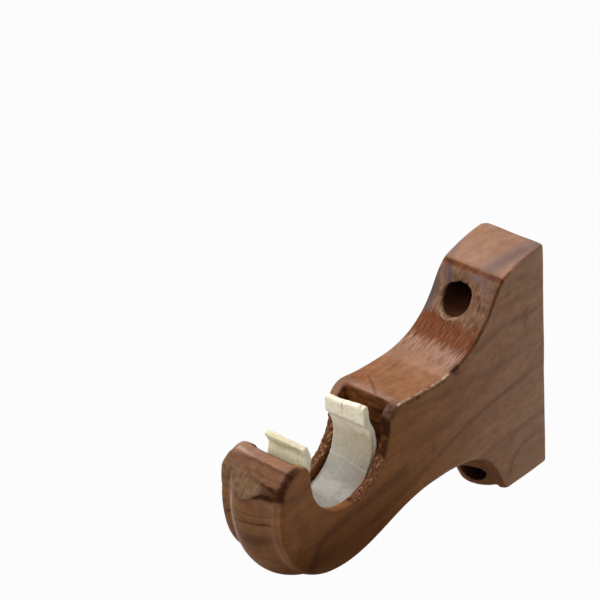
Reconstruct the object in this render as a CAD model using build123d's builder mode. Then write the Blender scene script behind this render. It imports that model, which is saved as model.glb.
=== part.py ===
"""Curtain pole bracket: a carved wooden arm with a plastic snap-in clip for the pole.

Lengths are in mm. X runs across the board, -Y points out into the room, +Z is up.
The origin is the centre of the flat face that lies against the wall.
Side-view points are written as (distance out from the wall, height above the foot).
"""
import os
from math import cos, radians, sin, sqrt, tan
from build123d import *

os.makedirs("parts", exist_ok=True)

# Board
board_width = 20.0
back_height = 68.2
top_arris = 0.7

# Top face and front slope
crease_out = 16.4
crease_drop = 2.3
top_camber = 0.7
shoulder_length = 5.5
shoulder_height = 5.0
shoulder_dip = 0.6

# Front slope, as (distance out, share of the drop from the crease to the arm)
slope_pts = [(19.4, 0.83), (22.8, 0.51), (27.8, 0.19), (33.5, 0.0), (41.5, -0.09)]

# Seat for the pole
seat_out = 78.9
seat_up = 45.1
seat_r = 14.8
groove_r = 19.0
rim_width = 3.0

# Nose, as distances from the centre of the seat
tip_rise = 1.8
tip_reach = 19.0
tip_height = 6.3
ridge_reach = 21.8
ridge_fall = 38.0
facet_reach = 25.8
facet_fall = 44.0
tip_arris = 1.7

# Moulded edge, given by the crest line of its two side beads from the foot to the nose:
# along the arm as (share of the way from the foot to the seat's centre, height above the
# foot), then round the nose as (distance out, height) from the centre of the seat
foot_out = 17.4
front_lean = 64.0
front_height = 7.6
edge_pts = [(0.257, 16.9), (0.473, 18.4), (0.636, 17.45), (0.863, 14.0), (1.05, 12.8)]
nose_pts = [(12.7, -30.1), (22.8, -22.0), (27.5, -8.6), (26.3, 1.7)]

# Section across the moulded edge
bead_width = 3.4
band_rise = 2.7
groove_depth = 0.6
bead_r = 2.1
strip_depth = 5.6
core_inset = 3.9

# Screw holes: a wide bore for the head and a narrow one for the shank
upper_x = -1.4
upper_up = 58.7
upper_r = 4.4
lower_x = 2.3
lower_up = 5.2
lower_r = 3.0
head_seat = 9.0
screw_r = 2.25

# Pole clip, its heights measured from the centre of the seat
clip_side_gap = 0.5
clip_r = 12.1
clip_wall = 1.9
clip_foot = 12.0
clip_gap = 0.05
back_reach = 31.0
back_lip_rise = 6.7
front_reach = 22.0
front_lip_rise = 7.9
front_waist_rise = 5.1

spare = 4.0
half = board_width / 2
band_half = half - bead_width
groove_half = half - rim_width
clip_half = groove_half - clip_side_gap
side_plane = Plane(origin=(0, 0, -back_height / 2), x_dir=(0, -1, 0), z_dir=(-1, 0, 0))


def heading(rise):
    """Direction out from the wall that climbs by the given angle in degrees."""
    return Vector(0, -cos(radians(rise)), sin(radians(rise)))


# Crest line of the side beads, drawn past both of its ends
run = 1 / tan(radians(front_lean))
front_start = (foot_out - spare * run, -spare)
front_end = (foot_out + front_height * run, front_height)
along = [(foot_out + share * (seat_out - foot_out), up) for share, up in edge_pts]
around = [(seat_out + out, seat_up + up) for out, up in nose_pts]
with BuildLine(side_plane) as crest_line:
    last = Line(front_start, front_end)
    for point in along + around:
        last = TangentArc(last @ 1, point, tangent=last % 1)
inner = offset(crest_line.wire(), amount=core_inset, side=Side.LEFT, closed=False)
with BuildLine(side_plane) as run_line:
    add(crest_line.line)
    Line(last @ 1, (last @ 1) + (last % 1) * 2 * spare)
crest = run_line.wire()

# Section of the moulded edge: a round band between two grooves, with a bead along each side
bead_x = half - bead_r
with BuildSketch(Plane(origin=crest @ 0, x_dir=(-1, 0, 0), z_dir=crest % 0)) as section:
    with BuildLine():
        ThreePointArc((-band_half, -groove_depth), (0, band_rise), (band_half, -groove_depth))
        ThreePointArc((band_half, -groove_depth), (bead_x, 0), (half, -bead_r))
        Polyline((half, -bead_r), (half, -strip_depth), (-half, -strip_depth), (-half, -bead_r))
        ThreePointArc((-half, -bead_r), (-bead_x, 0), (-band_half, -groove_depth))
    make_face()

# Corners of the side view
crease = (crease_out, back_height - crease_drop)
arm_end = (seat_out - seat_r - shoulder_length, seat_up + shoulder_height)
drop = crease[1] - arm_end[1]
top_mid = (crease_out / 2, back_height - crease_drop / 2 + top_camber)
seat_back = seat_out - seat_r
seat_front = seat_out + seat_r
shoulder_end = (seat_back + shoulder_dip, seat_up - shoulder_dip)
tip_back = (seat_front, seat_up + tip_rise)
tip_top_up = seat_up + tip_height
tip_top = (seat_out + tip_reach, tip_top_up)
ridge_out = seat_out + ridge_reach
ridge = (ridge_out, tip_top_up)
facet_out = seat_out + facet_reach
ridge_mid = side_plane.from_local_coords(ridge)
facet_start = (facet_out, tip_top_up - (facet_out - ridge_out) * tan(radians(ridge_fall)))
facet_end = (facet_out + 3 * spare, facet_start[1] - 3 * spare * tan(radians(facet_fall)))

# Wooden body: the side view across the full width, then the moulded edge along its underside
with BuildPart() as bracket_body:
    with BuildLine(side_plane) as outline:
        add(inner)
        Line(inner @ 1, ridge_mid)
        Line(ridge, tip_top)
        tip = Line((seat_front, shoulder_end[1]), tip_back)
        TangentArc(tip_back, tip_top, tangent=tip % 1)
        Line((seat_front, shoulder_end[1]), shoulder_end)
        slope = Spline(crease, *[(out, arm_end[1] + share * drop) for out, share in slope_pts], arm_end)
        TangentArc(arm_end, shoulder_end, tangent=slope % 1)
        ThreePointArc(crease, top_mid, (0, back_height))
        Polyline((0, back_height), (0, -spare))
        Line(side_plane.from_local_coords((0, -spare)), inner @ 0)
    extrude(Face(outline.wire()), amount=half, both=True)
    sweep(sections=section.sketch, path=crest)

    # Slope of the nose, with rounded side corners
    round_x = half - tip_arris * (1 - sqrt(0.5))
    round_y = -tip_arris * (1 - sqrt(0.5))
    ridge_planes = [Plane(origin=ridge_mid, x_dir=(1, 0, 0), z_dir=heading(-ridge_fall)),
                    Plane(origin=ridge_mid, x_dir=(1, 0, 0), z_dir=heading(0))]
    with BuildSketch(*ridge_planes):
        with BuildLine():
            Line((half - tip_arris, 0), (tip_arris - half, 0))
            ThreePointArc((tip_arris - half, 0), (-round_x, round_y), (-half, -tip_arris))
            Polyline((-half, -tip_arris), (-board_width, -tip_arris), (-board_width, board_width),
                     (board_width, board_width), (board_width, -tip_arris), (half, -tip_arris))
            ThreePointArc((half, -tip_arris), (round_x, round_y), (half - tip_arris, 0))
        make_face()
    extrude(amount=ridge_out - seat_out, both=True, mode=Mode.SUBTRACT)

    # Lower facet of the nose, and the foot cut level
    with BuildSketch(side_plane):
        with BuildLine():
            Polyline(facet_start, facet_end, (facet_end[0], facet_start[1]), close=True)
        make_face()
        with BuildLine():
            Polyline((-spare, 0), (arm_end[0], 0), (arm_end[0], -3 * spare), (-spare, -3 * spare), close=True)
        make_face()
    extrude(amount=board_width, both=True, mode=Mode.SUBTRACT)

    # Long arrises of the top and the slope
    sides = [e for e in bracket_body.edges() if abs(abs((e @ 0.5).X) - half) < 0.01]
    high = [e for e in sides if (e @ 0.5).Z > seat_up - back_height / 2 + 0.1]
    fillet([e for e in high if -seat_back < (e @ 0.5).Y < -0.1], radius=top_arris)

    # Round seat through the board, and the wider groove inside it
    with BuildSketch(side_plane):
        with Locations((seat_out, seat_up)):
            Circle(seat_r)
    extrude(amount=board_width, both=True, mode=Mode.SUBTRACT)
    with BuildSketch(side_plane):
        with Locations((seat_out, seat_up)):
            Circle(groove_r)
    extrude(amount=groove_half, both=True, mode=Mode.SUBTRACT)

    # Screw holes
    with BuildSketch(Plane.XZ.offset(head_seat)):
        with Locations((upper_x, upper_up - back_height / 2)):
            Circle(upper_r)
        with Locations((lower_x, lower_up - back_height / 2)):
            Circle(lower_r)
    extrude(amount=seat_back, mode=Mode.SUBTRACT)
    with BuildSketch(Plane.XZ):
        with Locations((upper_x, upper_up - back_height / 2), (lower_x, lower_up - back_height / 2)):
            Circle(screw_r)
    extrude(amount=head_seat, mode=Mode.SUBTRACT)
bracket_body.part.label = "bracket_body"

# Pole clip: a springy hoop open at the top, its foot seated on the floor of the groove
hoop_up = seat_up - groove_r + clip_gap + clip_r + clip_wall
outer_r = clip_r + clip_wall
back_lip_up = seat_up + back_lip_rise
front_lip_up = seat_up + front_lip_rise
front_waist_up = seat_up + front_waist_rise
bead = clip_wall / 2
back_in = (seat_out - clip_r * cos(radians(back_reach)), hoop_up + clip_r * sin(radians(back_reach)))
back_out = (seat_out - outer_r * cos(radians(back_reach)), hoop_up + outer_r * sin(radians(back_reach)))
back_x = back_in[0] + bead
back_y = back_lip_up - bead
front_in = (seat_out + clip_r * cos(radians(front_reach)), hoop_up + clip_r * sin(radians(front_reach)))
front_out = (seat_out + outer_r * cos(radians(front_reach)), hoop_up + outer_r * sin(radians(front_reach)))
front_x = front_in[0] + bead / 2
front_y = front_lip_up - bead

with BuildPart() as pole_clip:
    with BuildSketch(side_plane):
        with BuildLine():
            ThreePointArc(back_in, (seat_out, hoop_up - clip_r), front_in)
            ThreePointArc(back_out, (seat_out, hoop_up - outer_r), front_out)
            Polyline(back_in, (back_x, back_in[1] + bead), (back_x, back_y))
            ThreePointArc((back_x, back_y), (back_x - bead, back_lip_up), (back_x - 2 * bead, back_y))
            Line((back_x - 2 * bead, back_y), back_out)
            Polyline(front_in, (front_in[0] - bead / 2, front_waist_up - bead), (front_x, front_y))
            ThreePointArc((front_x, front_y), (front_x + bead, front_lip_up), (front_x + 2 * bead, front_y))
            Polyline((front_x + 2 * bead, front_y), (front_out[0] - bead, front_waist_up), front_out)
        make_face()
    extrude(amount=clip_half, both=True)
    with BuildSketch(side_plane):
        with Locations((seat_out, seat_up)):
            Circle(groove_r - clip_gap)
        with Locations((seat_out, seat_up - groove_r)):
            Rectangle(clip_foot, 2 * clip_wall, mode=Mode.INTERSECT)
        with Locations((seat_out, hoop_up)):
            Circle(clip_r + clip_wall / 2, mode=Mode.SUBTRACT)
    extrude(amount=clip_half, both=True)
pole_clip.part.label = "pole_clip"

export_step(bracket_body.part, "parts/bracket_body.step")
export_step(pole_clip.part, "parts/pole_clip.step")
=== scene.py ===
"""Looks of the curtain pole bracket: lacquered brown wood with worn and torn places, and a plastic pole clip.

Lengths are in mm. A place on the bracket is (across, out from the wall, height above the foot), and the
near side has a positive x. Stains, wear and painted light and shade are soft masks from 0 to 1, kept as
one number per vertex for the materials to read.
"""
import bpy
import numpy as np
from mathutils import Matrix, Vector


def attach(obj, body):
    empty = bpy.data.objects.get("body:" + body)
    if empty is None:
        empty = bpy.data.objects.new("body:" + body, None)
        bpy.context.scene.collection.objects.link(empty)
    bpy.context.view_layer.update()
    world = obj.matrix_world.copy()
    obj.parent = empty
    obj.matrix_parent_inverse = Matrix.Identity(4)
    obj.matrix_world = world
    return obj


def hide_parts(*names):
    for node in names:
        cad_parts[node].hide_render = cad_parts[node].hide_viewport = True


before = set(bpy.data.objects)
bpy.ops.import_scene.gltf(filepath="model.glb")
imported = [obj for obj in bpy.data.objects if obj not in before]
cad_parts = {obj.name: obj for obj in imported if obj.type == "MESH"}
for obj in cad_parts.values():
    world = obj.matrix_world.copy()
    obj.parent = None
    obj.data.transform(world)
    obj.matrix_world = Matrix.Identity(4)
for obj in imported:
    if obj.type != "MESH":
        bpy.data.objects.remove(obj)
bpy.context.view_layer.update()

MM = 0.001
FOOT = -34.1
HALF_WIDTH = 10.0
BACK_HEIGHT = 68.2

# Grid of each even skin in metres, and how often it is relaxed
WOOD_GRID, CLIP_GRID = 0.000435, 0.0002
RELAX_ROUNDS = 3

# Centre and radius of the pole's seat, and the distance across at which the masks of its rims begin
SEAT_OUT, SEAT_UP, SEAT_R = 78.9, 45.1, 14.8
RIM_START = 6.6

# Height of the centre of the clip's hoop, and the distance out that parts its back arm from its front one
HOOP_UP = 40.15
CLIP_MIDDLE = 79

# Screw bores in the front, as across, height and radius
UPPER_BORE = (-1.4, 58.7, 4.4)
LOWER_BORE = (2.3, 5.2, 3.0)

# Side view of the top face and the front slope, as (distance out, height)
SLOPE = np.array([(0, 68.2), (4, 68.3), (8.2, 67.75), (12, 67.1), (16.4, 65.9), (18, 64.6), (19.4, 63.2),
                  (21, 61.0), (22.8, 58.2), (25, 55.6), (27.8, 53.1), (30.5, 51.4), (33.5, 50.1), (37, 49.1),
                  (41.5, 48.65), (46, 48.75), (50, 49.2), (54, 49.7), (58.6, 50.1), (60.5, 49.9),
                  (62.2, 49.0), (63.5, 47.7)])

# Side view of the nose's crest, from the seat's edge down and back to the underside
CREST = np.array([(97.9, 51.4), (100.7, 51.4), (104.7, 48.3), (108.3, 44.6), (108.9, 40), (109.1, 36.5),
                  (108.2, 30), (105.6, 24), (101, 18.2), (95.5, 14.2), (90, 11.6)])

# Arc lengths down the slope to the crease above the bore and to the end of the combed grain
CREASE = 17.7
COMB_END = 46

# In the tables of marks a line is (weight, width, points) and an oval is (weight, centre, size).
# Marks on the top face and the slope, by distance across and arc length down the slope
SLOPE_CRACKS = [(0.8, 0.24, [(-5.5, 60.5), (-4.2, 61.6), (-1.5, 63.4), (2.2, 66.8)]),
                (0.3, 0.25, [(-3.6, 50), (-3.9, 55)]),
                (0.35, 0.4, [(8.6, 40), (8.9, 44), (8.4, 47)])]
SLOPE_KNOTS = [(0.6, (-7.2, 17.7), (2.0, 0.6)), (0.45, (6.8, 17.9), (1.8, 0.7)), (0.45, (-4, 52), (0.4, 0.9))]
SLOPE_ASH_LINES = [(0.85, 2.8, [(8.6, -1), (7.4, 4), (6.5, 9), (5.2, 13), (4.0, 17)]),
                   (0.75, 1.0, [(-9.8, 10), (-8.6, 15.5)]),
                   (0.25, 0.9, [(2.6, 0), (1.6, 7), (0.6, 13)]),
                   (1.2, 0.9, [(-7.4, 18.2), (-6.2, 20), (-5.0, 22.8)]),
                   (1.1, 1.1, [(-9.9, 20), (-8.8, 26), (-9.0, 31)])]
SLOPE_ASH_OVALS = [(0.7, (2.6, 19.6), (1.5, 0.8)), (0.6, (1.4, 19.3), (2.0, 0.6)),
                   (0.35, (6.0, 22.0), (0.7, 1.8)), (0.4, (7, 20.5), (1.8, 1.5))]
SLOPE_GREY_LINES = [(0.8, 0.7, [(-7.4, 18.2), (-6.2, 20), (-5.2, 22.4)]),
                    (0.7, 0.9, [(-9.9, 21), (-9.0, 26), (-9.4, 31)]),
                    (0.35, 1.3, [(7.2, 6), (6.2, 11), (5.0, 15)])]
SLOPE_PALE_LINES = [(0.6, 0.6, [(-9.2, 19), (-8.2, 22.5), (-6.6, 25)]), (0.35, 0.5, [(-7.2, 28), (-7.0, 32)])]
SLOPE_PALE_OVALS = [(0.4, (5.2, 20.8), (1.6, 1.0))]
SLOPE_RUDDY_OVALS = [(0.4, (-2.5, 19.6), (2.0, 0.9)), (0.35, (6.4, 25), (1.6, 2.2))]

# Marks on the near side, by distance out and height
SIDE_GRAIN = [(0.5, 0.9, [(72, 20.5), (64, 21.5), (56, 23.2), (46, 25.8), (34, 29.4), (22, 31.2), (8, 32),
                          (0, 33)]),
              (0.75, 1.5, [(96, 17), (94, 22), (91, 25.5), (84, 27.2), (76, 27.5), (66, 28.6), (58, 29.2)]),
              (0.5, 2.4, [(97, 19), (93, 20.5), (88, 20.2)]),
              (0.35, 1.1, [(66, 49), (50, 45), (34, 42.2), (18, 40), (4, 40.5)]),
              (0.4, 1.3, [(28, 50), (16, 51.5), (4, 50.2)]),
              (0.6, 0.8, [(16, 4.5), (14.5, 8.5), (10, 11), (2, 11.8)]),
              (0.35, 1.0, [(22, 12), (12, 16.5), (0, 18)]),
              (0.3, 1.0, [(12, 64), (4, 60), (0, 57)]),
              (0.6, 0.9, [(104, 44.5), (99, 43.5), (95, 44.5)]),
              (0.4, 1.6, [(100, 38), (97, 32), (99, 26)]),
              (0.25, 1.2, [(55, 33), (40, 34.5), (26, 36)])]
SIDE_SCRAPES = [(0.6, 0.4, [(7.2, 52.6), (8.5, 51.2), (7.5, 49.6), (8.6, 47.8), (7.9, 46.8)]),
                (0.5, 0.35, [(9.8, 50.4), (9.0, 49.2)])]
SIDE_SPECKS = [(0.45, (46.3, 30.3), (0.9, 1.6)), (0.6, (15.3, 60.2), (0.8, 0.5)),
               (0.4, (14.2, 61.3), (0.4, 0.4)), (0.35, (4.5, 56.5), (0.5, 1.0)), (0.3, (21, 45), (0.3, 0.5)),
               (0.25, (60, 36), (0.4, 0.4)), (0.5, (36.5, 47.2), (1.0, 0.8)), (0.4, (2.5, 61), (0.6, 0.9)),
               (0.4, (30, 57), (0.4, 0.3))]

# Marks on the nose, by distance across and arc length down its crest; lines two and three are painted shadow
NOSE_DARK_LINES = [(0.4, 0.4, [(-0.8, 7.6), (1.4, 8.1), (3.6, 8.3)]),
               (0.75, 0.4, [(3.8, 8.0), (5.4, 8.3), (6.8, 8.7), (8.2, 9.0)]),
               (0.75, 0.6, [(3.2, 12.0), (4.4, 11.2), (6.4, 10.9), (8.2, 10.3), (10.2, 9.4)]),
               (0.5, 0.5, [(-9.5, 19.5), (-8, 18.2)]),
               (0.5, 0.6, [(-9, 23), (-7, 21.6)]),
               (0.6, 0.5, [(-10.5, 10.4), (-8.4, 9.8)]),
               (0.5, 0.5, [(-10, 12.8), (-8, 12)])]

# Marks on the clip: by distance across and angle round the hoop, then by distance across and height on
# each lip
HOOP_STAINS = [(0.7, 0.35, [(-3.8, 112), (-2.6, 107), (-0.6, 104)]),
               (0.4, 0.4, [(0.4, 101), (1.4, 95), (1.6, 88)]),
               (0.5, 0.4, [(4.2, 104), (3.4, 96)])]
BACK_LIP_STAINS = [(0.8, (5.2, 52.6), (0.5, 0.6)), (0.7, (0.6, 53), (0.8, 0.35))]
FRONT_LIP_STAINS = [(0.5, 0.28, [(3.2, 52), (4.0, 50.5), (3.2, 49), (3.6, 47.5)]),
                    (0.35, 0.3, [(-4, 49.5), (-1, 49)])]

# Masks that the wood's material reads. The last two hold lengths in mm and aren't cut to 0..1.
WOOD_MASKS = ("top", "dark", "grey", "brow", "ruddy", "tan", "pale", "gloss", "warm", "low", "pinked", "leaf",
              "face", "ash", "wear_and_highlight", "torn", "comb", "ember", "edge", "chip")
WOOD_LENGTHS = ("across", "along")


def smooth_step(low, high, value):
    """0 below low, 1 above high, and 3t^2 - 2t^3 between them. With low above high it falls instead."""
    t = np.clip((value - low) / (high - low), 0, 1)
    return t * t * (3 - 2 * t)


def window(value, low, high, soft):
    """1 between low and high, 0 outside, with soft ends."""
    return smooth_step(low - soft, low + soft, value) * smooth_step(high + soft, high - soft, value)


def bell(value, middle, width):
    """Soft bump: exp(-((value - middle) / width)^2)."""
    return np.exp(-((value - middle) / width) ** 2)


def run_along(line, out, up):
    """Nearest place on a polyline in the side view: its arc length in mm, and the distance to it."""
    a, b = line[:-1], line[1:]
    step = b - a
    size = np.hypot(step[:, 0], step[:, 1])
    start = np.concatenate([[0], np.cumsum(size)[:-1]])
    t = ((out[:, None] - a[:, 0]) * step[:, 0] + (up[:, None] - a[:, 1]) * step[:, 1]) / size ** 2
    t = np.clip(t, 0, 1)
    far = np.hypot(out[:, None] - a[:, 0] - t * step[:, 0], up[:, None] - a[:, 1] - t * step[:, 1])
    best = far.argmin(axis=1)
    rows = np.arange(len(out))
    return start[best] + t[rows, best] * size[best], far[rows, best]


def ripples(points, length, seed, count=14):
    """Smooth random field: a sum of sines of about the given wavelength in mm, in seeded directions and
    phases."""
    rng = np.random.default_rng(seed)
    way = rng.normal(size=(count, 3))
    pace = (2 * np.pi / length) * rng.uniform(0.6, 1.5, (count, 1))
    way *= pace / np.linalg.norm(way, axis=1, keepdims=True)
    return np.sin(points @ way.T + rng.uniform(0, 2 * np.pi, count)).sum(axis=1) / np.sqrt(count / 2)


def stroke(a, b, points, width):
    """Soft band along a polyline: exp(-(distance / width)^2)."""
    return bell(run_along(np.array(points, float), a, b)[1], 0, width)


def strokes(a, b, lines):
    """Sum of weighted soft bands, from a table of lines."""
    return sum(weight * stroke(a, b, points, width) for weight, width, points in lines)


def spot(a, b, at, size):
    """Soft oval: exp(-((a - a0) / width)^2 - ((b - b0) / height)^2)."""
    return bell(a, at[0], size[0]) * bell(b, at[1], size[1])


def spots(a, b, ovals):
    """Sum of weighted soft ovals, from a table of ovals."""
    return sum(weight * spot(a, b, at, size) for weight, at, size in ovals)


def past_bore(x, up, bore):
    """Distance in mm outside the wall of a screw bore, negative within it."""
    across, height, radius = bore
    return np.hypot(x - across, up - height) - radius


def remeshed(name, node, voxel, rounds):
    """Closed even skin of a solid: its triangles are joined, rebuilt on a fine grid and relaxed, which
    softens each arris."""
    mesh = node.data.copy()
    obj = bpy.data.objects.new(name, mesh)
    bpy.context.scene.collection.objects.link(obj)
    weld = obj.modifiers.new("weld", "WELD")
    weld.merge_threshold = 0.00001
    grid = obj.modifiers.new("grid", "REMESH")
    grid.mode = "VOXEL"
    grid.voxel_size = voxel
    relax = obj.modifiers.new("relax", "SMOOTH")
    relax.factor = 0.5
    relax.iterations = rounds
    bpy.context.view_layer.update()
    done = bpy.data.meshes.new_from_object(obj.evaluated_get(bpy.context.evaluated_depsgraph_get()))
    obj.modifiers.clear()
    obj.data = done
    done.materials.clear()
    done.polygons.foreach_set("use_smooth", np.ones(len(done.polygons), bool))
    return obj


def coords(mesh):
    """Vertex places in mm as (across, out from the wall, height above the foot), and their normals in the
    same order."""
    raw = np.empty(len(mesh.vertices) * 3)
    mesh.vertices.foreach_get("co", raw)
    p = raw.reshape(-1, 3) / MM
    nor = np.empty(len(mesh.vertices) * 3, dtype=np.float32)
    mesh.vertex_normals.foreach_get("vector", nor)
    n = nor.reshape(-1, 3).astype(float)
    return np.stack([p[:, 0], -p[:, 1], p[:, 2] - FOOT], 1), np.stack([n[:, 0], -n[:, 1], n[:, 2]], 1)


def put(mesh, q):
    """Writes places given as (across, out, height) in mm back to the mesh."""
    p = np.stack([q[:, 0], -q[:, 1], q[:, 2] + FOOT], 1) * MM
    mesh.vertices.foreach_set("co", p.ravel())
    mesh.update()


def keep(mesh, name, values):
    """Stores one number per vertex for the material."""
    mesh.attributes.new(name, "FLOAT", "POINT").data.foreach_set("value", values.astype(np.float32))


def mask_slope(m, q, n):
    """Masks on the top face and the front slope: ash streaks, the red crease, the brown brow round the bore,
    the combed grain of the slope, the tan arm and a painted highlight along the shoulder's edge. Each is a
    sum of bands, ovals and windows along the arc length, times the top mask."""
    x, out, up = q.T
    run, off = run_along(SLOPE, out, up)
    top = bell(off, 0, 0.75) * smooth_step(0.15, 0.5, np.maximum(n[:, 2], n[:, 1]))
    wob = ripples(q, 5, 4)
    crease = run - 0.15 * wob
    far_end = smooth_step(-4, -7.5, x) * smooth_step(57, 61, run)
    # Painted highlight along the shoulder's edge, broken by ripples.
    shoulder_highlight = (window(run, 65.4, 66.8, 0.5) * (0.55 + 0.5 * ripples(q, 2.2, 64))
                     * smooth_step(-8.5, -6, x))
    m["top"] += top
    m["along"] += run * (top > 0.05)
    m["brow"] += window(run, 17.4, 37.4, 0.9) * top
    m["comb"] += window(run, 18, COMB_END, 1.5) * top
    m["ember"] += (0.7 * smooth_step(0.7, 0.2, run) + bell(crease, CREASE, 0.85) * (0.85 + 0.15 * wob)) * top
    m["dark"] += (0.3 * bell(crease, CREASE - 0.1, 0.5)
                  + 0.2 * bell(x, HALF_WIDTH, 0.6) * window(run, 17.5, COMB_END, 1)
                  + strokes(x, run, SLOPE_CRACKS) + spots(x, run, SLOPE_KNOTS)) * top
    m["ash"] += (strokes(x, run, SLOPE_ASH_LINES) + spots(x, run, SLOPE_ASH_OVALS)) * top
    m["grey"] += strokes(x, run, SLOPE_GREY_LINES) * top
    # Pale marks and bands on the slope, and the painted highlight along the shoulder's edge.
    m["pale"] += (strokes(x, run, SLOPE_PALE_LINES) + spots(x, run, SLOPE_PALE_OVALS)
                  + window(run, 38.0, 46, 2.0) * (0.28 + 0.5 * smooth_step(0, 5, x))
                  + 0.75 * shoulder_highlight + 0.2 * window(run, 46.5, 54, 2.5)) * top
    m["ruddy"] += (spots(x, run, SLOPE_RUDDY_OVALS) + 0.85 * window(run, 17.0, 18.6, 0.35)
                   + smooth_step(28.5, 35.5, run + 0.6 * wob)
                   * smooth_step(44.5, 36.2, run - 0.4 * wob)) * top
    m["tan"] += (window(run, 49, 65, 1.2) + 0.4 * window(run, 37, 48, 2) * smooth_step(6, 1, x)) * top
    m["low"] += (0.3 * window(run, 56, 66, 2.5) + 0.55 * far_end) * top
    m["gloss"] += (0.1 * smooth_step(16.5, 15.5, run) + 0.11 * window(run, 39, 45.5, 2.0)
                   + 0.07 * window(run, 47, 66, 1) + 0.05 * window(run, 18, 37, 1)) * top


def mask_arris(m, q):
    """Masks on the near upper arris: reddened and darkened down the slope, and a painted highlight along the
    arm with a dark line just under it. Each is a bell of the distance from the arris. Returns the depth of
    the small nick."""
    x, out, up = q.T
    run, off = run_along(SLOPE, out, up)
    near = smooth_step(9.0, 9.7, x)
    arris = bell(off, 0.2, 0.42) * near
    # Painted highlight along the arris by the arm.
    arris_highlight = bell(off, 0, 0.5) * bell(x, HALF_WIDTH, 0.5) * window(run, 46.5, 67, 0.6)
    under_arris = bell(off, 1.1, 0.4) * smooth_step(9.8, 9.95, x) * window(run, 46.5, 66, 0.8)
    arris_dark = 0.5 * window(run, 17, COMB_END, 1.5) + 0.3 * smooth_step(17, 15, run)
    m["ember"] += arris * window(run, 14, COMB_END, 1.5)
    m["dark"] += arris_dark * arris * (0.8 + 0.3 * ripples(q, 4, 63))
    m["dark"] += 0.8 * stroke(out, up, [(36.0, 48.9), (37.8, 48.1)], 0.7) * near
    m["dark"] += 0.75 * under_arris * (0.6 + 0.4 * ripples(q, 3, 62))
    # Painted highlight along the arris by the arm, broken by ripples.
    m["edge"] += 1.5 * arris_highlight * (0.75 + 0.4 * ripples(q, 2.4, 61))
    return 0.25 * stroke(out, up, [(36.0, 49.0), (37.5, 48.4)], 0.6) * near


def mask_side(m, q, n):
    """Masks on the two flat sides and the moulded underside: steps along the arm, warmer towards the nose,
    lighter and pinker towards the wall as painted light, darker low down and underneath as painted shade,
    with dark grain and small marks on the near side."""
    x, out, up = q.T
    side = smooth_step(0.7, 0.95, np.abs(n[:, 0]))
    under = smooth_step(-0.05, -0.6, n[:, 2])
    near = side * (x > 0)
    lobe = smooth_step(17, 13, up) * smooth_step(3, 7, out) * smooth_step(40, 32, out) * (1 - side)
    below = smooth_step(30, 12, up - 0.1 * (out - 60)) * smooth_step(48, 75, out)
    m["warm"] += np.maximum(side * smooth_step(8, 72, out - 0.25 * (up - 35)),
                            0.85 * under * smooth_step(20, 60, out)) + 0.6 * lobe
    # Darker low down on the sides, underneath and on the lower lobe: painted shade.
    m["low"] += below * np.maximum(side, under * smooth_step(107, 98, out)) + 0.85 * lobe
    # More painted shade low down on the sides.
    m["low"] += (0.25 * smooth_step(40, 60, out) * smooth_step(36, 26, up)
                 + 0.12 * smooth_step(14, 6, up) * (out < 40)) * side
    # Lighter and pinker towards the wall: painted light.
    m["pinked"] += (0.75 * smooth_step(44, 4, out) + 0.35 * smooth_step(7, 1, out)) * side
    m["grey"] += strokes(out, up, SIDE_GRAIN) * near
    m["ember"] += strokes(out, up, SIDE_SCRAPES) * near
    m["dark"] += spots(out, up, SIDE_SPECKS) * near * (0.65 + 0.35 * ripples(q, 1.6, 7))
    m["pale"] += 0.85 * spot(out, up, (26.0, 30.1), (0.4, 0.45)) * near


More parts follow.
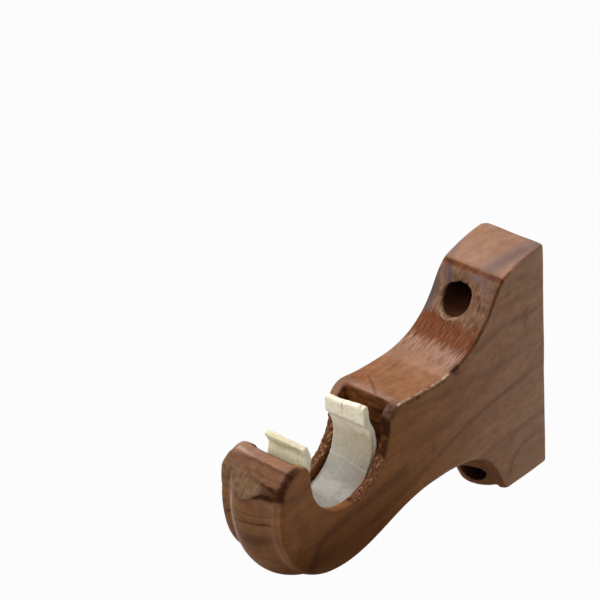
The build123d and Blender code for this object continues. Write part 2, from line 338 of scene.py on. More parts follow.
def mask_nose(m, q, n):
    """Masks on the nose, by distance across and arc length down its crest: a torn patch whose lower edge is a
    parabola, a notch at its near corner with painted shadow round it and a painted highlight on its edge,
    thin rings across the round band, painted highlights on both beads, and painted shade on the front, in the
    near groove and on the near rounding of the top. Returns the height of the torn and worn places."""
    x, out, up = q.T
    drop, far = run_along(CREST, out, up)
    nose = smooth_step(96, 97.5, out) * (up > 14)
    front = nose * smooth_step(0.1, 0.45, np.maximum(n[:, 1], n[:, 2]))
    wob = ripples(q, 4, 14)
    across_band = window(x, -3.8, 7.2, 0.5)

    within = 14.0 - 0.1 * (x + 1.2) ** 2 - drop
    leaf = smooth_step(-0.2, 0.3, within) * smooth_step(6.6, 7.6, drop) * smooth_step(4.1, 3.7, x) * front
    leaf_edge = bell(within, 0, 0.45) * smooth_step(9.5, 11, drop) * smooth_step(4.2, 3.8, x)
    notch = smooth_step(3.6, 4.0, x) * window(drop + 0.25 * (x - 4), 8.6, 12.0, 0.5) * front
    rings = (0.45 * bell(drop, 17.3, 0.25) + 0.25 * bell(drop, 18.7, 0.25)
             + 0.75 * bell(drop - 0.022 * (x - 3) ** 2, 19.7, 0.33)) * across_band
    layers = (0.45 * bell(drop - 0.15 * wob, 3.4, 0.45) * smooth_step(-9, -3, x)
              + 0.3 * bell(drop - 0.15 * wob, 6.2, 0.4) * smooth_step(-3, 1, x))
    # Painted shade on the nose's front, weaker on the ridge, low down and where it turns to the side.
    facing = 0.1 + 0.9 * smooth_step(0.75, 0.3, n[:, 0])
    shaded = facing * (0.5 + 0.5 * smooth_step(2.6, 3.4, drop)) * (1 - 0.6 * smooth_step(28, 34, drop))

    m["leaf"] += leaf
    m["warm"] += 0.35 * front
    # Painted shade on the front, and on the near side along the nose's edge.
    m["face"] += (shaded + 0.2 * spot(x, drop, (3, 25), (7, 4))) * front
    m["face"] += 0.3 * bell(far, 0, 3.0) * smooth_step(0.7, 0.95, n[:, 0]) * nose * smooth_step(11, 14, drop)
    # The notch's darkening and the two dark lines round the notch are painted shadow.
    m["dark"] += (0.3 * leaf_edge + layers + rings + 0.45 * notch + strokes(x, drop, NOSE_DARK_LINES)) * front
    # Darker on the near rounding of the nose's top: painted shade, partly pooled lacquer.
    m["dark"] += 0.95 * (stroke(out, up, [(98.5, 51.6), (101.6, 50.6), (103.6, 48.9), (105.4, 47.2)], 1.5)
                         * smooth_step(7.9, 9.0, x))
    # Painted shade in the groove by the near bead.
    m["dark"] += 0.22 * stroke(x, drop, [(5.0, 13), (5.2, 26), (5.6, 36)], 0.7) * nose
    m["dark"] += (0.2 * smooth_step(0.4, 1.6, ripples(q * [0.5, 1, 1], 1.6, 91))
                  * window(drop, 3.8, 14, 0.8) * front)
    m["ruddy"] += 0.5 * window(drop, 2.6, 4.0, 0.5) * front * smooth_step(-6, 4, x) + 0.3 * notch
    m["grey"] += (spot(x, drop, (2.0, 25.8), (4.8, 2.3)) + 0.35 * window(drop, 3.0, 7.4, 0.5)
                  + 0.5 * notch) * front
    m["pale"] += 0.8 * window(drop, -1, 2.3, 0.4) * smooth_step(2, -4, x) * front * (0.6 + 0.4 * wob)
    # Painted highlight on the near bead.
    m["pale"] += 0.3 * stroke(x, drop, [(6.9, 13), (7.2, 36)], 1.1) * nose
    # Wear on the notch's edge, and a painted highlight on the far bead's shoulder.
    m["wear_and_highlight"] += 0.5 * stroke(x, drop, [(3.75, 8.9), (3.75, 11.6)], 0.25) * front
    m["wear_and_highlight"] += 0.8 * stroke(x, drop, [(-5.7, 11), (-5.3, 20), (-4.5, 30)], 0.8) * nose * (0.85 + 0.15 * wob)
    # Painted highlight along the lit edge of the notch.
    m["tan"] += 0.7 * stroke(x, drop, [(4.8, 9.2), (6.4, 9.6), (7.8, 10.0), (10.2, 8.7)], 0.3) * front
    m["gloss"] += (0.4 * stroke(x, drop, [(-5.6, 11), (-5.2, 20), (-4.4, 30)], 1.6)
                   + 0.1 * window(drop, -1, 7, 0.5)
                   + 0.5 * window(drop, -1, 2.6, 0.3) * smooth_step(1, -5, x)) * nose

    rounding = (0.4 * smooth_step(13, 5, drop) + 0.35 * np.sin(np.pi * np.clip((drop - 2.8) / 10.2, 0, 1))
                - 0.32 * bell(drop, 2.8, 1.0) - 0.1 * bell(drop, 13.0, 1.2))
    height = rounding * smooth_step(-2, -9, x) * nose * smooth_step(0.1, 0.4, np.maximum(n[:, 1], n[:, 2]))
    height -= 0.4 * bell(x, HALF_WIDTH, 1.3) * bell(far, 0, 1.3) * nose * smooth_step(11, 14, drop)
    height += 0.1 * leaf + 0.07 * leaf * ripples(q, 2.4, 3) - 0.3 * notch * smooth_step(9.5, 5, x)
    return height


def mask_seat(m, q):
    """Masks on the seat, by distance and angle from its centre: rims of torn end grain that start bare at the
    bottom, painted shadow over an orange-brown tone on the near rim's upper end, and a groove behind the clip
    with an orange-brown tone and painted shade. Returns the height of the torn grain."""
    x, out, up = q.T
    reach = np.hypot(out - SEAT_OUT, up - SEAT_UP)
    turn = np.degrees(np.arctan2(SEAT_OUT - out, SEAT_UP - up))
    arc = np.radians(turn) * SEAT_R
    rim = bell(reach, SEAT_R, 0.55) * (np.abs(x) > RIM_START) * (up < 48)
    start = turn + 1.5 * ripples(q, 5, 4)
    ends = np.where(x > 0, 58, 104)
    torn = rim * smooth_step(1, 5, start) * smooth_step(4, -4, turn - ends)
    bare = rim * smooth_step(3, 0, start)
    inside = smooth_step(SEAT_R + 0.4, SEAT_R + 1.2, reach) * (np.abs(x) < 7.3) * (reach < 19.6) * (up < 60)
    strands = ripples(np.column_stack([x * 2.4 + 0.9 * np.sin(arc * 0.8), arc, arc * 0]), 2.2, 41)
    m["torn"] += torn
    m["along"] += arc * (m["top"] < 0.05)
    m["warm"] += rim + inside
    m["tan"] += 0.3 * bare
    m["low"] += 0.45 * bare
    # Orange-brown tone in the groove and on the near rim's upper end.
    m["ember"] += 0.9 * inside + 0.8 * rim * smooth_step(56, 66, turn) * (x > 0)
    # Painted shade in the groove behind the clip, and the far rim's torn grain a little darker.
    m["dark"] += inside * (0.3 + 0.3 * ripples(q * [0.3, 1, 1], 2.6, 51)) + 0.2 * torn * (x < 0)
    # Painted shadow on the near rim's upper end.
    m["dark"] += rim * smooth_step(54, 62, turn) * (x > 0) * (0.9 + 0.25 * ripples(q, 1.9, 52))
    m["dark"] += 0.8 * spot(x, turn, (8.6, 2.5), (1.2, 3.2)) * rim
    return 0.1 * torn * strands


def mask_seat_edges(m, q):
    """Masks on the seat's upper edges: the broken corner on the wall side with a painted highlight on it, and
    ash on the nose's edge.
    """
    x, out, up = q.T
    patch = ripples(q, 1.9, 71)
    nose_patch = smooth_step(-0.6, 1.0, ripples(q, 1.8, 72))
    m["grey"] += (0.75 * stroke(out, up, [(63.2, 48.0), (61.8, 49.4), (59.8, 50.2)], 1.3)
                  * smooth_step(6.6, 7.8, x))
    m["ash"] += (0.9 * stroke(out, up, [(63.6, 47.2), (62.6, 48.8), (61.0, 49.8)], 0.9)
                 * window(x, 7.2, 9.6, 0.4) * smooth_step(-0.6, 0.6, patch))
    m["ash"] += 0.1 * (up > 43) * smooth_step(100, 101.5, out)
    m["ash"] += 0.45 * (up > 50.5) * window(out, 97.6, 100.8, 0.3) * smooth_step(-6, -2, x) * nose_patch
    m["dark"] += (stroke(out, up, [(64.3, 44.5), (63.9, 46.6), (62.8, 48.6), (61.2, 49.7)], 1.0)
                  * window(x, 6.9, 9.9, 0.3) * (0.6 - 0.25 * patch))
    m["dark"] += 0.5 * stroke(out, up, [(64.2, 46.5), (64.2, 44)], 1.2) * smooth_step(7.5, 8.5, x)
    # Painted highlight on the broken corner.
    m["pale"] += (0.5 * stroke(out, up, [(63.4, 47.8), (62.4, 49.0)], 0.5) * window(x, 7.6, 9.4, 0.3)
                  * smooth_step(0.4, 1.2, patch))


def mask_bores(m, q):
    """Masks on the screw bores: painted shade on their walls, and pale chipped wood under the upper one."""
    x, out, up = q.T
    off = run_along(SLOPE, out, up)[1]
    upper, lower = past_bore(x, up, UPPER_BORE), past_bore(x, up, LOWER_BORE)
    # Painted shade on the bore walls.
    m["dark"] += (1.2 * smooth_step(0.5, 0.15, np.minimum(upper, lower)) * (out < 30)
                  * smooth_step(0.1, 1.2, off))
    m["chip"] += (smooth_step(1.5, 0.9, upper) * smooth_step(57.5, 55.0, up) * smooth_step(4.5, 2.5, x)
                  * (out < 30) * (out > 20))


def tear_bore(q):
    """Ragged lip of the upper bore: its lower edge rises and its upper edge sinks, by uneven bells about the
    distance out of each edge."""
    around = past_bore(q[:, 0], q[:, 2], UPPER_BORE)
    rim = smooth_step(1.8, 0, around) * smooth_step(-1.2, -0.2, around)
    ragged = 1 + 0.05 * ripples(q, 2.5, 81) + 0.3 * bell(q[:, 0], UPPER_BORE[0], 1.0)
    lower_edge = 0.7 * bell(q[:, 1], 26.4, 1.1) * (q[:, 2] < 56.5)
    upper_edge = 1.15 * bell(q[:, 1], 19.2, 1.5) * smooth_step(60.5, 62.5, q[:, 2])
    q[:, 2] += rim * ragged * (lower_edge - upper_edge)


def round_corner(q, side, radius, depth):
    """Rounds a top corner at the wall: places near it move inwards, out and down by a bell of their
    distance from it."""
    near = (bell(q[:, 0], side * HALF_WIDTH, radius) * bell(q[:, 1], 0, radius)
            * bell(q[:, 2], BACK_HEIGHT, radius))
    q += depth * near[:, None] * [-side, 1, -1]


def wooden_body():
    """The arm's even skin, with masks for stain, wear and painted light and shade. It is moved along its
    normals by hand-sanded waviness and torn grain, and its upper bore's lip and its top corners are worn."""
    obj = remeshed("wooden_body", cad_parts["bracket_body"], WOOD_GRID, RELAX_ROUNDS)
    mesh = obj.data
    q, n = coords(mesh)
    m = {name: np.zeros(len(q)) for name in WOOD_MASKS + WOOD_LENGTHS}
    m["across"] += q[:, 0]
    mask_slope(m, q, n)
    nick = mask_arris(m, q)
    mask_side(m, q, n)
    wear = mask_nose(m, q, n)
    strands = mask_seat(m, q)
    mask_seat_edges(m, q)
    mask_bores(m, q)
    m["gloss"] *= np.clip(1 - 1.2 * m["dark"], 0, 1)
    for name in WOOD_MASKS:
        keep(mesh, name, np.clip(m[name], 0, 1))
    for name in WOOD_LENGTHS:
        keep(mesh, name, m[name])
    tear_bore(q)
    q += n * (0.045 * ripples(q, 13, 1) + strands + wear - nick)[:, None]
    round_corner(q, -1, 1.0, 0.25)
    round_corner(q, 1, 0.8, 0.13)
    put(mesh, q)
    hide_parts("bracket_body")
    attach(obj, "root")
    return obj


def plastic_clip():
    """The clip's even skin, with creases, dirt and painted shade. The back lip rises towards its near end by
    0.9 t, with t from 0 to 1 across the lip, and the hidden foot is lifted clear of the groove. x, out and up
    are views of q and follow each move."""
    obj = remeshed("plastic_clip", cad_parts["pole_clip"], CLIP_GRID, RELAX_ROUNDS)
    mesh = obj.data
    q, n = coords(mesh)
    x, out, up = q.T
    q[:, 2] += 0.9 * smooth_step(-3, 6, x) * smooth_step(46, 50.5, up) * (out < CLIP_MIDDLE)
    q += n * (0.05 * ripples(q, 6, 21) + 0.02 * ripples(q, 2, 22))[:, None]
    q[:, 2] += 0.3 * smooth_step(28.0, 26.8, up)
    front = (out > CLIP_MIDDLE).astype(float)
    back = 1 - front
    outward = smooth_step(0.1, 0.7, n[:, 1])
    q[:, 1] += 0.3 * back * outward * bell(up, 46.6, 0.6)
    q[:, 1] += front * outward * (0.45 * bell(up, 50.4, 0.9) - 0.22 * smooth_step(51.3, 52.0, up))

    turn = np.degrees(np.arctan2(SEAT_OUT - out, HOOP_UP - up))
    hoop = np.hypot(out - SEAT_OUT, up - HOOP_UP)
    inner = smooth_step(13.0, 12.4, hoop) * smooth_step(112, 92, np.abs(turn)) * smooth_step(47.2, 45.8, up)
    seam = 0.8 * bell(turn + 0.5 * x, 56.6, 1.2) * inner
    q += n * (0.06 * seam)[:, None]
    crack = 0.7 * bell(x, -0.6, 0.22) * (up > 49.5) + 0.25 * bell(x, -0.6, 0.2) * (up > 46)
    stain = (strokes(x, turn, HOOP_STAINS) + spot(x, turn, (4.6, 56), (0.45, 1.8)) + crack
             + 0.35 * smooth_step(6.2, 7.2, np.abs(x)) * inner + spots(x, up, BACK_LIP_STAINS)) * back
    stain += strokes(x, up, FRONT_LIP_STAINS) * front
    stain += 0.42 * smooth_step(1.0, 6.5, x) * inner * smooth_step(8, 18, turn)
    # Painted shade: the lips' upward faces darker, mostly on the front lip.
    lip_top_shade = smooth_step(0.4, 0.9, n[:, 2]) * (up > 46) * (0.1 + 0.9 * front)
    # Hoop darker towards its bottom: grey dirt and painted shade.
    rise = smooth_step(35, 98, turn) * back
    for name, values in (("front", front), ("inner", inner), ("lip_top_shade", lip_top_shade), ("stain", stain), ("seam", seam),
                         ("rise", rise)):
        keep(mesh, name, np.clip(values, 0, 1))
    put(mesh, q)
    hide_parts("pole_clip")
    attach(obj, "root")
    return obj


class Paint:
    """Small helper for building a material's nodes. A value may be a number, a colour or another node's
    output."""

    def __init__(self, name):
        self.mat = bpy.data.materials.new(name)
        self.mat.use_nodes = True
        self.tree = self.mat.node_tree
        self.shader = self.tree.nodes["Principled BSDF"]

    def add(self, kind, **links):
        """New node with its inputs set, each by its name with _ for a space, or by i and its number."""
        node = self.tree.nodes.new(kind)
        for key, value in links.items():
            by_number = key[0] == "i" and key[1:].isdigit()
            self.set(node.inputs[int(key[1:]) if by_number else key.replace("_", " ")], value)
        return node

    def set(self, socket, value):
        """Links an output to a socket, or sets the socket's own value."""
        if isinstance(value, bpy.types.NodeSocket):
            self.tree.links.new(value, socket)
        else:
            socket.default_value = value

    def mask(self, name):
        """A number kept on the mesh's vertices."""
        node = self.tree.nodes.new("ShaderNodeAttribute")
        node.attribute_name = name
        return node.outputs["Fac"]

    def place(self, scale):
        """Object coordinates, in mm times the given scale."""
        where = self.tree.nodes.new("ShaderNodeTexCoord")
        node = self.add("ShaderNodeMapping", Vector=where.outputs["Object"])
        node.inputs["Scale"].default_value = [v / MM for v in scale]
        return node.outputs[0]

    def noise(self, vector, detail=2.0, rough=0.5, warp=0.0):
        """Smooth noise of about one wave per unit of the vector."""
        node = self.add("ShaderNodeTexNoise", Vector=vector, Scale=1.0, Detail=detail, Roughness=rough,
                        Distortion=warp)
        return node.outputs["Fac"]

    def math(self, kind, a, b=0.0, c=None, clamp=False):
        """One step of arithmetic."""
        node = self.add("ShaderNodeMath", i0=a, i1=b)
        node.operation = kind
        node.use_clamp = clamp
        if c is not None:
            self.set(node.inputs[2], c)
        return node.outputs[0]

    def times(self, a, b):
        """Product cut to 0..1."""
        return self.math("MULTIPLY", a, b, clamp=True)

    def off_from(self, value, middle):
        """Distance of a value from a middle one."""
        return self.math("ABSOLUTE", self.math("SUBTRACT", value, middle))

    def span(self, value, low, high, to_low=0.0, to_high=1.0):
        """Maps low..high to to_low..to_high, clamped."""
        node = self.add("ShaderNodeMapRange", Value=value)
        for key, number in (("From Min", low), ("From Max", high), ("To Min", to_low), ("To Max", to_high)):
            node.inputs[key].default_value = number
        return node.outputs[0]

    def blend(self, share, a, b, kind="MIX"):
        """Mix of two colours by a share of the second."""
        node = self.tree.nodes.new("ShaderNodeMix")
        node.data_type = "RGBA"
        node.blend_type = kind
        for socket, value in ((node.inputs[0], share), (node.inputs[6], a), (node.inputs[7], b)):
            self.set(socket, (*value, 1) if isinstance(value, tuple) and len(value) == 3 else value)
        return node.outputs[2]

    def tint(self, share, color, factor):
        """The colour times a factor, by a share."""
        return self.blend(share, color, self.blend(1.0, color, factor, "MULTIPLY"))

    def bump(self, height, distance, strength, normal=None):
        """Normal bent by a height, on top of another one."""
        node = self.add("ShaderNodeBump", Height=height, Distance=distance, Strength=strength)
        if normal is not None:
            self.set(node.inputs["Normal"], normal)
        return node.outputs[0]


def growth_layers(p, x, y, z):
    """Bands of height + 0.14 out + 0.12 across, bent by slow noise: 1D noise along that sum."""
    slow = p.noise(p.place((0.03, 0.014, 0.04)))
    level = p.math("MULTIPLY_ADD", y, -0.14, z)
    level = p.math("MULTIPLY_ADD", slow, 30.0, level)
    level = p.math("MULTIPLY_ADD", x, 0.12, level)
    layer = p.tree.nodes.new("ShaderNodeTexNoise")
    layer.noise_dimensions = "1D"
    p.set(layer.inputs["W"], p.math("MULTIPLY", level, 0.2))
    layer.inputs["Scale"].default_value = 1.0
    layer.inputs["Detail"].default_value = 4.0
    layer.inputs["Roughness"].default_value = 0.6
    return layer.outputs["Fac"]


def on_skin(p, across, along):
    """Vector of the two lengths kept on the skin, each times its scale."""
    at = p.add("ShaderNodeCombineXYZ", X=p.math("MULTIPLY", p.mask("across"), across),
               Y=p.math("MULTIPLY", p.mask("along"), along))
    return at.outputs[0]


def ground_color(p, where, fibre, cloud, blotch):
    """Colour of the plain wood: pinkish near the wall and brown towards the nose, tinted by growth layers,
    fibres and blotches, and darker low down and on the nose's front. The lighter, pinker sides near the wall
    are painted light; the darkening on the sides, underside and nose's front is painted shade, and on the
    slope and seat rims it is the wood's own darker tone."""
    layer = growth_layers(p, where.outputs["X"], where.outputs["Y"], where.outputs["Z"])
    fine = p.noise(p.place((6.0, 0.5, 6.0)), 2.0, 0.6)
    pink = p.blend(p.span(cloud, 0.35, 0.65), (0.41, 0.205, 0.11), (0.46, 0.24, 0.135))
    brown = p.blend(p.span(cloud, 0.35, 0.65), (0.31, 0.125, 0.038), (0.36, 0.145, 0.05))
    color = p.blend(p.mask("warm"), pink, brown)
    color = p.blend(p.times(p.mask("top"), 0.8), color, (0.39, 0.212, 0.135))
    # Lighter and pinker towards the wall on the sides: painted light.
    color = p.blend(p.times(p.mask("pinked"), 0.75), color, (0.56, 0.33, 0.215))
    color = p.tint(p.span(layer, 0.36, 0.6, 0.42, 0.0), color, (0.6, 0.55, 0.55))
    color = p.tint(p.span(fibre, 0.5, 0.72, 0.0, 0.2), color, (0.62, 0.52, 0.5))
    color = p.tint(p.span(fine, 0.5, 0.75, 0.0, 0.45), color, (1.35, 1.4, 1.45))
    color = p.tint(p.span(blotch, 0.42, 0.62, 0.45, 0.0), color, (0.7, 0.64, 0.6))
    # Darker by the low mask: painted shade on sides and underside, the wood's own tone on slope and seat
    # rims.
    color = p.tint(p.times(p.mask("low"), p.span(cloud, 0.2, 0.7, 0.8, 1.0)), color, (0.49, 0.46, 0.45))
    # Darker on the nose's front: painted shade.
    return p.tint(p.mask("face"), color, (0.66, 0.63, 0.55))


def slope_color(p, color, blotch, comb):
    """The colour with the slope's own places over it: brown brow, tan arm, pale and ruddy places, and combed
    grain."""
    brow = p.blend(p.span(blotch, 0.4, 0.6), (0.14, 0.066, 0.034), (0.24, 0.13, 0.076))
    color = p.blend(p.times(p.mask("brow"), 0.9), color, brow)
    tan = p.blend(p.span(blotch, 0.4, 0.6), (0.25, 0.09, 0.03), (0.33, 0.14, 0.06))
    color = p.blend(p.times(p.mask("tan"), 0.85), color, tan)
    color = p.blend(p.times(p.mask("pale"), p.span(comb, 0.38, 0.62, 1.0, 0.3)), color, (0.38, 0.205, 0.15))
    ragged = p.math("MULTIPLY_ADD", p.math("SUBTRACT", comb, 0.5), 1.4, p.mask("ruddy"))
    ruddy = p.blend(p.span(comb, 0.42, 0.6), (0.2, 0.058, 0.018), (0.14, 0.036, 0.011))
    color = p.blend(p.span(ragged, 0.28, 0.85, 0.0, 0.92), color, ruddy)
    color = p.tint(p.times(p.mask("comb"), p.span(comb, 0.52, 0.64, 0.0, 0.8)), color, (0.52, 0.38, 0.3))
    return p.tint(p.times(p.mask("comb"), p.span(comb, 0.34, 0.45, 0.8, 0.0)), color, (1.4, 1.52, 1.65))


def wear_and_highlight_color(p, color, blotch, speck, strand):
    """The colour with wear and a painted highlight over it: ash, a worn edge and a painted highlight on the
    far bead, grey grain, the torn patch, torn end grain and reddened edges."""
    scar = p.noise(p.place((0.8, 0.4, 0.5)), 3.0, 0.6)
    color = p.blend(p.times(p.mask("ash"), p.span(speck, 0.25, 0.65, 0.75, 1.0)), color, (0.18, 0.118, 0.108))
    # Wear, and a painted highlight on the far bead's shoulder.
    color = p.blend(p.times(p.mask("wear_and_highlight"), p.span(speck, 0.25, 0.6, 0.6, 1.0)), color, (0.6, 0.43, 0.33))
    color = p.tint(p.times(p.mask("grey"), p.span(speck, 0.3, 0.7, 0.65, 0.95)), color, (0.42, 0.4, 0.47))
    leaf = p.blend(p.span(scar, 0.42, 0.62), (0.22, 0.131, 0.07), (0.112, 0.063, 0.042))
    color = p.blend(p.times(p.mask("leaf"), 0.7), color, leaf)
    torn = p.blend(p.span(strand, 0.5, 0.62), (0.15, 0.05, 0.02), (0.5, 0.27, 0.15))
    color = p.blend(p.mask("torn"), color, torn)
    ember = p.blend(p.span(blotch, 0.42, 0.58), (0.27, 0.088, 0.022), (0.12, 0.036, 0.012))
    return p.blend(p.times(p.mask("ember"), p.span(speck, 0.3, 0.65, 0.6, 1.0)), color, ember)


def chips_and_highlight_color(p, color, across, comb, speck):
    """The colour with bare chips and a painted highlight over it: a pale ring of chips where the distance
    from the upper bore's centre is close to its radius, and a painted highlight line along the near arris."""
    bore_x, bore_up, bore_r = UPPER_BORE
    from_bore = p.add("ShaderNodeVectorMath", i0=p.place((1, 0, 1)), i1=(bore_x, 0, bore_up + FOOT))
    from_bore.operation = "SUBTRACT"
    radius = p.add("ShaderNodeVectorMath", i0=from_bore.outputs[0])
    radius.operation = "LENGTH"
    uneven = p.math("MULTIPLY_ADD", p.math("SUBTRACT", speck, 0.5), 1.6, radius.outputs["Value"])
    ring = p.span(p.off_from(uneven, bore_r - 0.2), 0.1, 0.3, 1.0, 0.0)
    chips = p.math("MULTIPLY", ring, p.mask("chip"))
    color = p.blend(p.times(chips, p.span(comb, 0.42, 0.56, 0.1, 0.85)), color, (0.5, 0.32, 0.19))
    # Painted highlight line along the near arris.
    line = p.span(p.off_from(across, HALF_WIDTH - 0.4), 0.18, 0.36, 1.0, 0.0)
    return p.blend(p.times(line, p.mask("edge")), color, (0.95, 0.68, 0.5))


def darkened_color(p, color, speck):
    """The colour with the dark mask over it, which holds dark marks and painted shade, speckled but for the
    mask's darkest places, and all of it a little duller."""
    spotty = p.times(p.mask("dark"), p.span(speck, 0.3, 0.6, 0.85, 1.05))
    share = p.math("MAXIMUM", spotty, p.span(p.mask("dark"), 0.93, 1.0))
    return p.blend(1.0, p.blend(share, color, (0.045, 0.015, 0.007)), (0.92, 0.92, 0.92), "MULTIPLY")


def brown_lacquer():
    """Brown wood under old lacquer. Growth layers and fibres drawn out along the arm lie under everything,
    and the masks then darken, redden, grey or lighten it in their places, some with painted highlights and
    shade."""
    p = Paint("brown lacquer")
    where = p.tree.nodes.new("ShaderNodeSeparateXYZ")
    p.set(where.inputs[0], p.place((1, 1, 1)))
    fibre = p.noise(p.place((2.6, 0.16, 2.6)), 3.0, 0.6)
    cloud = p.noise(p.place((0.13, 0.08, 0.13)), 3.0, 0.55)
    blotch = p.noise(p.place((0.5, 0.3, 0.5)), 4.0, 0.6)
    speck = p.noise(p.place((1.3, 1.0, 1.3)), 3.0, 0.65)
    strand = p.noise(on_skin(p, 2.6, 1.0), 3.0, 0.6, 0.8)
    comb = p.noise(on_skin(p, 2.7, 0.24), 4.0, 0.62)
    color = ground_color(p, where, fibre, cloud, blotch)
    color = slope_color(p, color, blotch, comb)
    color = wear_and_highlight_color(p, color, blotch, speck, strand)
    color = chips_and_highlight_color(p, color, where.outputs["X"], comb, speck)
    p.set(p.shader.inputs["Base Color"], darkened_color(p, color, speck))
    p.shader.inputs["Specular IOR Level"].default_value = 0.07
    p.shader.inputs["Specular Tint"].default_value = (1.0, 0.72, 0.52, 1)
    rough = p.math("MULTIPLY_ADD", p.mask("low"), 0.35, p.span(fibre, 0.2, 0.8, 0.4, 0.6), clamp=True)
    p.set(p.shader.inputs["Roughness"], rough)
    p.set(p.shader.inputs["Coat Weight"], p.times(p.mask("gloss"), p.span(comb, 0.35, 0.65, 1.2, 0.6)))
    p.shader.inputs["Coat Roughness"].default_value = 0.28
    relief = p.bump(fibre, 0.0001, 0.5)
    relief = p.bump(p.math("MULTIPLY", comb, p.mask("comb")), 0.0006, 0.7, relief)
    relief = p.bump(p.math("MULTIPLY", strand, p.mask("torn")), 0.0007, 0.9, relief)
    relief = p.bump(p.math("MULTIPLY", speck, p.mask("leaf")), 0.0003, 0.5, relief)
    p.set(p.shader.inputs["Normal"], relief)
    return p.mat


def cream_plastic():
    """Aged off-white plastic: cream lips that let some light through, with painted shade on their tops, a
    hoop greyed by dirt and darkened towards its bottom by painted shade, and thin brown stains."""
    p = Paint("cream plastic")
    cloud = p.noise(p.place((0.2, 0.2, 0.2)), 4.0, 0.6)
    speck = p.noise(p.place((1.5, 1.5, 1.5)), 3.0, 0.6)
    fleck = p.noise(p.place((0.7, 0.7, 0.7)), 3.0, 0.6)
    streak = p.noise(p.place((1.1, 0.13, 0.13)), 3.0, 0.6)
    back_lip = p.blend(p.span(fleck, 0.38, 0.66), (0.98, 0.92, 0.76), (0.9, 0.77, 0.53))
    front_lip = p.blend(p.span(fleck, 0.38, 0.64), (1.0, 0.92, 0.7), (0.95, 0.8, 0.5))
    # Hoop from dark near its bottom to light near the lips: grey dirt and painted shade.
    low = p.blend(p.span(cloud, 0.35, 0.65), (0.31, 0.285, 0.25), (0.345, 0.32, 0.28))
    high = p.blend(p.span(cloud, 0.35, 0.65), (0.68, 0.61, 0.48), (0.63, 0.55, 0.39))
    hoop = p.tint(p.span(streak, 0.35, 0.6, 0.4, 0.0), p.blend(p.mask("rise"), low, high), (0.78, 0.74, 0.66))
    color = p.blend(p.times(p.mask("front"), 0.8), back_lip, front_lip)
    color = p.blend(p.mask("inner"), color, hoop)
    # Painted shade on the lips' tops.
    color = p.tint(p.mask("lip_top_shade"), color, (0.72, 0.69, 0.66))
    color = p.blend(p.times(p.mask("stain"), p.span(speck, 0.35, 0.6, 0.3, 1.0)), color, (0.3, 0.19, 0.09))
    color = p.blend(p.times(p.mask("seam"), 0.4), color, (0.6, 0.58, 0.5))
    p.set(p.shader.inputs["Base Color"], color)
    p.set(p.shader.inputs["Roughness"], p.span(cloud, 0.3, 0.7, 0.34, 0.5))
    p.shader.inputs["Specular IOR Level"].default_value = 0.35
    lips = p.math("MULTIPLY_ADD", p.mask("front"), 0.45, 0.15)
    through = p.math("MAXIMUM", lips, p.math("MULTIPLY", p.mask("inner"), 0.2))
    p.set(p.shader.inputs["Subsurface Weight"], through)
    p.shader.inputs["Subsurface Radius"].default_value = (1.0, 0.95, 0.8)
    p.shader.inputs["Subsurface Scale"].default_value = 0.002
    p.set(p.shader.inputs["Normal"], p.bump(speck, 0.00006, 0.5, p.bump(cloud, 0.0002, 0.4)))
    return p.mat


def area(name, place, size, power):
    """Square soft lamp at a place in metres, turned towards the middle of the bracket."""
    data = bpy.data.lights.new(name, "AREA")
    data.size = size
    data.energy = power
    lamp = bpy.data.objects.new(name, data)
    lamp.location = place
    lamp.rotation_euler = (Vector((0, -0.05, 0)) - Vector(place)).to_track_quat("-Z", "Y").to_euler()
    bpy.context.scene.collection.objects.link(lamp)


def white_share(tree, share, plain, white, out):
    """Shows the white one to camera, glossy and transmission rays, by the given share, and the plain one to
    all others."""
    path = tree.nodes.new("ShaderNodeLightPath")
    seen = path.outputs["Is Camera Ray"]
    for other in ("Is Glossy Ray", "Is Transmission Ray"):
        either = tree.nodes.new("ShaderNodeMath")
        either.operation = "MAXIMUM"
        tree.links.new(seen, either.inputs[0])
        tree.links.new(path.outputs[other], either.inputs[1])
        seen = either.outputs[0]
    part = tree.nodes.new("ShaderNodeMath")
    part.operation = "MULTIPLY"
    part.inputs[1].default_value = share
    tree.links.new(seen, part.inputs[0])
    mix = tree.nodes.new("ShaderNodeMixShader")
    for source, socket in ((part.outputs[0], mix.inputs[0]), (plain, mix.inputs[1]), (white, mix.inputs[2]),
                           (mix.outputs[0], out)):
        tree.links.new(source, socket)


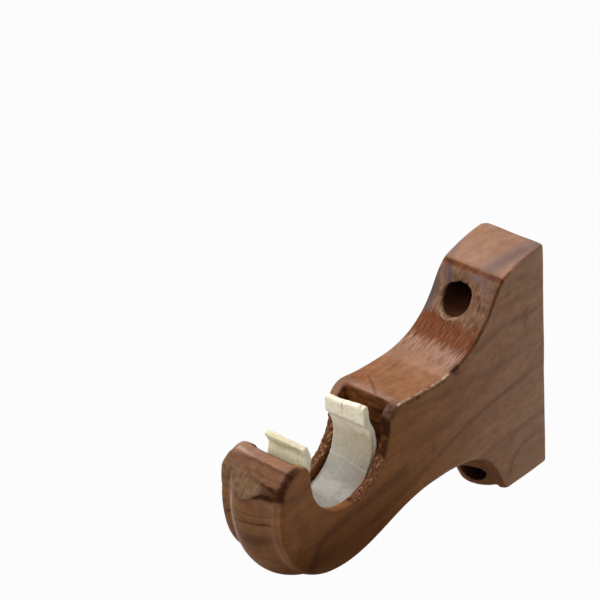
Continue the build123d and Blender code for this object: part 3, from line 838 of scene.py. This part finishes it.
def pale_floor():
    """Matt surface that looks white to the camera and in reflections, but still takes some of the light and
    shade."""
    mat = bpy.data.materials.new("pale floor")
    mat.use_nodes = True
    tree = mat.node_tree
    shader = tree.nodes["Principled BSDF"]
    shader.inputs["Base Color"].default_value = (0.4, 0.4, 0.4, 1)
    shader.inputs["Roughness"].default_value = 0.9
    shader.inputs["Specular IOR Level"].default_value = 0.0
    glow = tree.nodes.new("ShaderNodeEmission")
    white_share(tree, 0.96, shader.outputs[0], glow.outputs[0], tree.nodes["Material Output"].inputs[0])
    return mat


def studio():
    """Pale floor well below the hanging bracket, a large lamp from the upper left, a front lamp and an even
    sky."""
    bpy.ops.mesh.primitive_plane_add(size=6, location=(0, 0, -0.32))
    floor = bpy.context.object
    floor.name = "floor"
    floor.data.materials.append(pale_floor())
    area("upper left", (-0.66, 0.1, 0.97), 0.6, 8.95)
    area("front", (-0.25, -1.0, 0.92), 0.8, 8.1)
    world = bpy.data.worlds.new("sky")
    bpy.context.scene.world = world
    world.use_nodes = True
    tree = world.node_tree
    sky = tree.nodes["Background"]
    sky.inputs["Color"].default_value = (1, 1, 1, 1)
    sky.inputs["Strength"].default_value = 0.435
    seen = tree.nodes.new("ShaderNodeBackground")
    seen.inputs["Color"].default_value = (1, 1, 1, 1)
    seen.inputs["Strength"].default_value = 0.97
    white_share(tree, 1.0, sky.outputs[0], seen.outputs[0], tree.nodes["World Output"].inputs[0])


def camera():
    """Camera at the photograph's viewing angle, about 1 m away: its axes as unit vectors, and its place in
    metres."""
    data = bpy.data.cameras.new("camera")
    data.sensor_width = 36
    data.lens = 230.36
    data.clip_start = 0.05
    right = Vector((0.7545959, 0.65471708, -0.04393823))
    top = Vector((-0.32235594, 0.42818933, 0.84423963))
    back = Vector((0.57155198, -0.62289601, 0.53416185))
    place = Vector((0.53607222, -0.6679036, 0.55660599))
    obj = bpy.data.objects.new("camera", data)
    obj.matrix_world = Matrix.Translation(place) @ Matrix((right, top, back)).transposed().to_4x4()
    bpy.context.scene.collection.objects.link(obj)
    bpy.context.scene.camera = obj


body = wooden_body()
clip = plastic_clip()
body.data.materials.append(brown_lacquer())
clip.data.materials.append(cream_plastic())
studio()
camera()
bpy.context.scene.view_settings.view_transform = "Standard"
